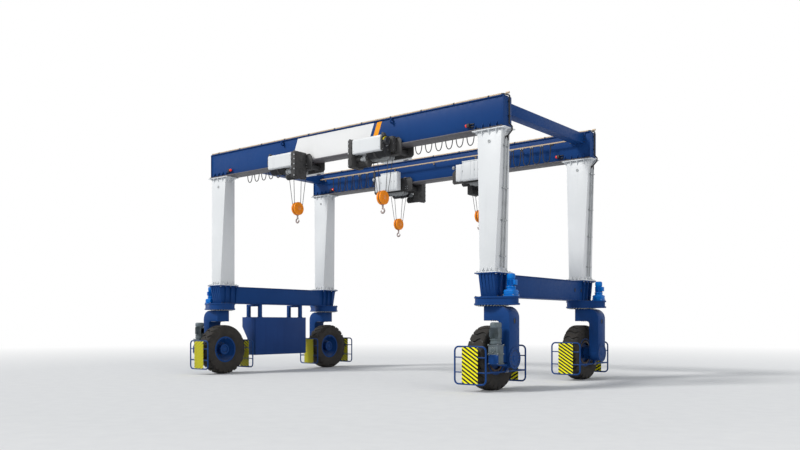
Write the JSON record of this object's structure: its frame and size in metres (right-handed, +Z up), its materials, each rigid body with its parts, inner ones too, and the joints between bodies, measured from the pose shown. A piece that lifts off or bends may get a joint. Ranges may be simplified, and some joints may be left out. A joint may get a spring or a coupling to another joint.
{
  "type": "rubber tyred gantry crane",
  "caption": "Mobile gantry crane on rubber tyres: two box girders on tapered legs, saddle beams, steered wheels, travelling hoists with hooks and a power house.",
  "frame": {"origin": "on the ground, in the middle of the four wheels", "axes": "+X along the girders towards the end with the leg pipes, +Y from the near girder to the far one, +Z up"},
  "size_m": [12.1946, 6.922, 7.3873],
  "materials": {
    "blue_paint": "satin blue machine paint",
    "white_paint": "satin off-white paint",
    "charcoal_paint": "dark grey hammered paint",
    "orange_paint": "gloss orange paint",
    "motor_blue": "bright blue enamel",
    "grey_casting": "grey painted casting",
    "bare_steel": "bare steel",
    "galvanised_steel": "weathered galvanised steel",
    "black_plastic": "moulded black plastic",
    "red_lens": "red lamp lens",
    "tyre": "tyre rubber",
    "cable_rubber": "black cable sheath"
  },
  "bodies": {
    "gantry": {"girder_near": "blue_paint", "girder_far": "blue_paint", "end_beams": "blue_paint", "saddle_left": "blue_paint", "saddle_right": "blue_paint", "power_house": "blue_paint", "power_house_hangers": "blue_paint", "engine_block": "grey_casting", "festoon_tracks": "galvanised_steel", "festoon_carriers": "black_plastic", "cable_conduits": "galvanised_steel", "warning_lamps": "red_lens", "steering_gearmotors": "motor_blue", "leg_near_left": "white_paint", "leg_near_right": "white_paint", "leg_far_left": "white_paint", "leg_far_right": "white_paint", "festoon_cable_near_left": "cable_rubber", "festoon_cable_near_right": "cable_rubber", "festoon_cable_far_left": "cable_rubber", "festoon_cable_far_right": "cable_rubber"},
    "bogie_near_left": {"bracket_near_left": "blue_paint", "guard_near_left": "blue_paint", "drive_gearmotor_near_left": "grey_casting"},
    "wheel_near_left": {"tyre_near_left": "tyre", "rim_near_left": "blue_paint"},
    "trolley_near_left": {"hoist_machine_near_left": "charcoal_paint", "hoist_covers_near_left": "white_paint", "hoist_ropes_near_left": "bare_steel"},
    "block_near_left": {"hook_block_near_left": "orange_paint"},
    "hook_near_left": {"hook_near_left": "bare_steel"},
    "bogie_near_right": {"bracket_near_right": "blue_paint", "guard_near_right": "blue_paint", "drive_gearmotor_near_right": "grey_casting"},
    "wheel_near_right": {"tyre_near_right": "tyre", "rim_near_right": "blue_paint"},
    "trolley_near_right": {"hoist_machine_near_right": "charcoal_paint", "hoist_covers_near_right": "white_paint", "hoist_ropes_near_right": "bare_steel"},
    "block_near_right": {"hook_block_near_right": "orange_paint"},
    "hook_near_right": {"hook_near_right": "bare_steel"},
    "bogie_far_left": {"bracket_far_left": "blue_paint", "guard_far_left": "blue_paint"},
    "wheel_far_left": {"tyre_far_left": "tyre", "rim_far_left": "blue_paint"},
    "trolley_far_left": {"hoist_machine_far_left": "charcoal_paint", "hoist_covers_far_left": "white_paint", "hoist_ropes_far_left": "bare_steel"},
    "block_far_left": {"hook_block_far_left": "orange_paint"},
    "hook_far_left": {"hook_far_left": "bare_steel"},
    "bogie_far_right": {"bracket_far_right": "blue_paint", "guard_far_right": "blue_paint"},
    "wheel_far_right": {"tyre_far_right": "tyre", "rim_far_right": "blue_paint"},
    "trolley_far_right": {"hoist_machine_far_right": "charcoal_paint", "hoist_covers_far_right": "white_paint", "hoist_ropes_far_right": "bare_steel"},
    "block_far_right": {"hook_block_far_right": "orange_paint"},
    "hook_far_right": {"hook_far_right": "bare_steel"}
  },
  "joints": [
    {"name": "steering_near_left", "type": "hinge", "parent": "gantry", "child": "bogie_near_left", "pos_m": [-5.325, -2.5, 2.13], "axis": [0, 0, 1], "range_deg": [-90, 90]},
    {"name": "wheel_spin_near_left", "type": "hinge", "parent": "bogie_near_left", "child": "wheel_near_left", "pos_m": [-5.29, -2.5, 0.81], "axis": [1, 0, 0], "continuous": true},
    {"name": "trolley_travel_near_left", "type": "slide", "parent": "gantry", "child": "trolley_near_left", "axis": [-1, 0, 0], "range_m": [-0.8, 1.3], "deforming": ["festoon_cable_near_left", "festoon_carriers"]},
    {"name": "hook_lift_near_left", "type": "slide", "parent": "trolley_near_left", "child": "block_near_left", "axis": [0, 0, 1], "range_m": [-4, 0.3], "deforming": ["hoist_ropes_near_left"]},
    {"name": "hook_swivel_near_left", "type": "hinge", "parent": "block_near_left", "child": "hook_near_left", "pos_m": [-1.709, -2.47, 4.9], "axis": [0, 0, 1], "continuous": true},
    {"name": "steering_near_right", "type": "hinge", "parent": "gantry", "child": "bogie_near_right", "pos_m": [5.325, -2.5, 2.13], "axis": [0, 0, 1], "range_deg": [-90, 90]},
    {"name": "wheel_spin_near_right", "type": "hinge", "parent": "bogie_near_right", "child": "wheel_near_right", "pos_m": [5.29, -2.5, 0.81], "axis": [1, 0, 0], "continuous": true},
    {"name": "trolley_travel_near_right", "type": "slide", "parent": "gantry", "child": "trolley_near_right", "axis": [1, 0, 0], "range_m": [-0.8, 1.3], "deforming": ["festoon_cable_near_right", "festoon_carriers"]},
    {"name": "hook_lift_near_right", "type": "slide", "parent": "trolley_near_right", "child": "block_near_right", "axis": [0, 0, 1], "range_m": [-4, 0.3], "deforming": ["hoist_ropes_near_right"]},
    {"name": "hook_swivel_near_right", "type": "hinge", "parent": "block_near_right", "child": "hook_near_right", "pos_m": [1.709, -2.47, 4.9], "axis": [0, 0, 1], "continuous": true},
    {"name": "steering_far_left", "type": "hinge", "parent": "gantry", "child": "bogie_far_left", "pos_m": [-5.325, 2.5, 2.13], "axis": [0, 0, 1], "range_deg": [-90, 90]},
    {"name": "wheel_spin_far_left", "type": "hinge", "parent": "bogie_far_left", "child": "wheel_far_left", "pos_m": [-5.29, 2.5, 0.81], "axis": [1, 0, 0], "continuous": true},
    {"name": "trolley_travel_far_left", "type": "slide", "parent": "gantry", "child": "trolley_far_left", "axis": [-1, 0, 0], "range_m": [-0.8, 1.3], "deforming": ["festoon_cable_far_left", "festoon_carriers"]},
    {"name": "hook_lift_far_left", "type": "slide", "parent": "trolley_far_left", "child": "block_far_left", "axis": [0, 0, 1], "range_m": [-4, 0.3], "deforming": ["hoist_ropes_far_left"]},
    {"name": "hook_swivel_far_left", "type": "hinge", "parent": "block_far_left", "child": "hook_far_left", "pos_m": [-1.709, 2.47, 4.9], "axis": [0, 0, 1], "continuous": true},
    {"name": "steering_far_right", "type": "hinge", "parent": "gantry", "child": "bogie_far_right", "pos_m": [5.325, 2.5, 2.13], "axis": [0, 0, 1], "range_deg": [-90, 90]},
    {"name": "wheel_spin_far_right", "type": "hinge", "parent": "bogie_far_right", "child": "wheel_far_right", "pos_m": [5.29, 2.5, 0.81], "axis": [1, 0, 0], "continuous": true},
    {"name": "trolley_travel_far_right", "type": "slide", "parent": "gantry", "child": "trolley_far_right", "axis": [1, 0, 0], "range_m": [-0.8, 1.3], "deforming": ["festoon_cable_far_right", "festoon_carriers"]},
    {"name": "hook_lift_far_right", "type": "slide", "parent": "trolley_far_right", "child": "block_far_right", "axis": [0, 0, 1], "range_m": [-4, 0.3], "deforming": ["hoist_ropes_far_right"]},
    {"name": "hook_swivel_far_right", "type": "hinge", "parent": "block_far_right", "child": "hook_far_right", "pos_m": [1.709, 2.47, 4.9], "axis": [0, 0, 1], "continuous": true}
  ]
}
